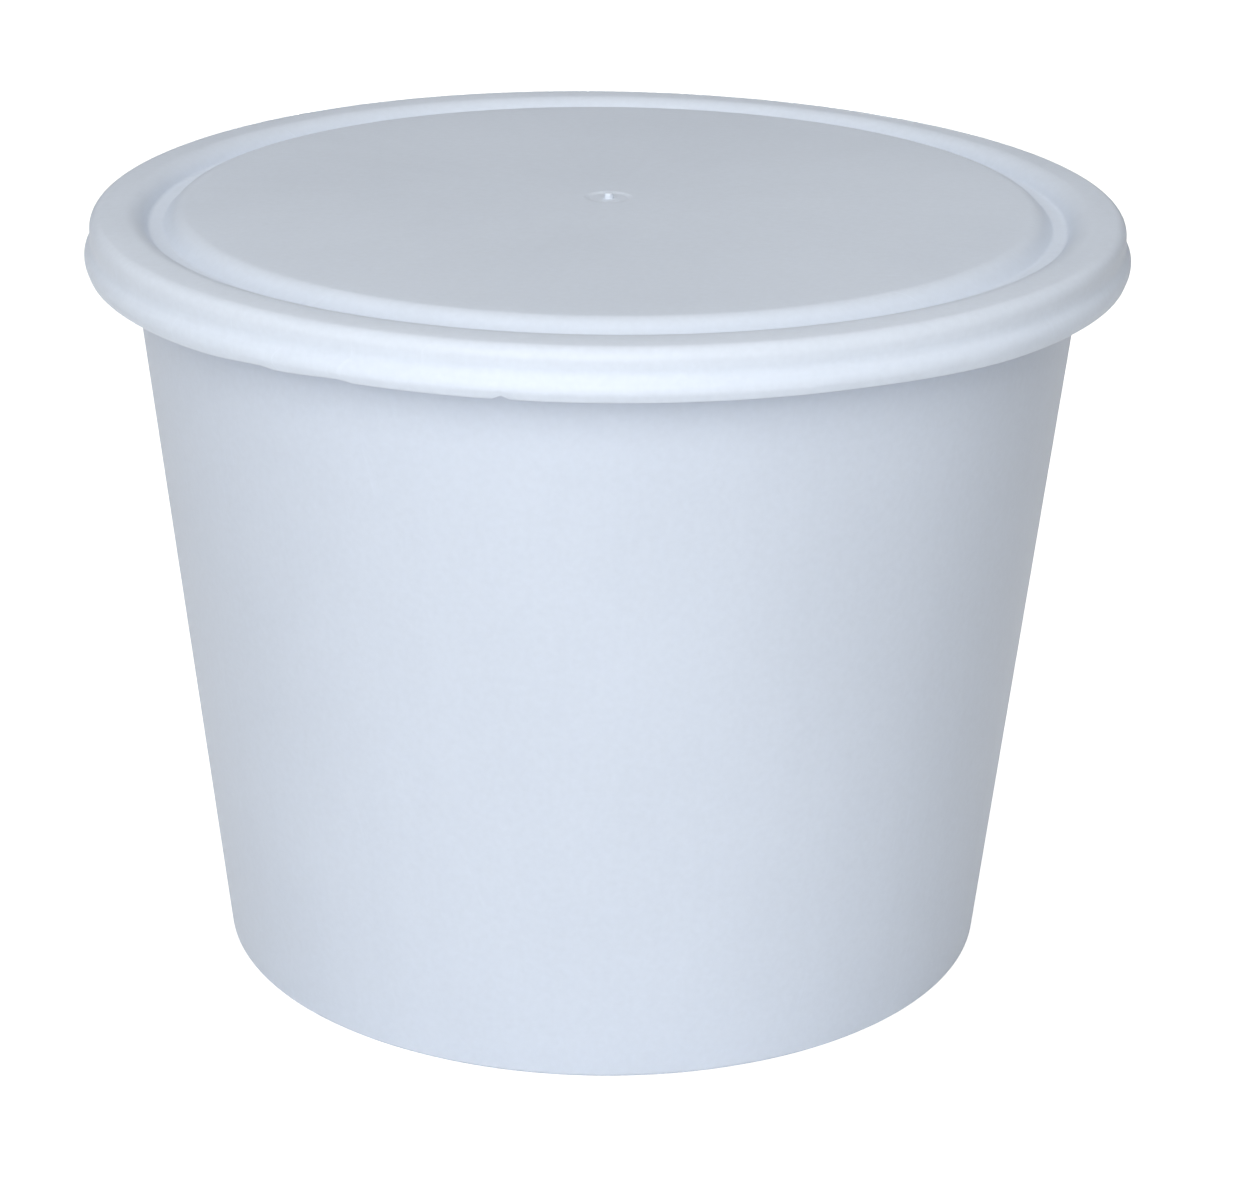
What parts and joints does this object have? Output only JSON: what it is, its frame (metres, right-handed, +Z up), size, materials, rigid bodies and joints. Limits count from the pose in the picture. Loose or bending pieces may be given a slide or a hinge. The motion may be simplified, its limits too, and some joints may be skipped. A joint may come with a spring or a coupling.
{
  "type": "round food storage tub with lid",
  "caption": "Shut round food storage tub: straight tapered wall, foot ring, and a press-on lid with a raised panel, a groove, a gate mark and a flared skirt.",
  "frame": {"origin": "centre of the foot, on the plane the tub stands on", "axes": "+Z up along the axis of the tub and the lid; the piece is round, so X and Y are free"},
  "size_m": [0.1442, 0.1442, 0.1082],
  "materials": {
    "tub_plastic": "milky white polypropylene, satin, as moulded",
    "lid_plastic": "milky white polypropylene, satin, finely grained panel, as moulded"
  },
  "bodies": {
    "root": {"tub": "tub_plastic", "lid": "lid_plastic"}
  },
  "joints": []
}
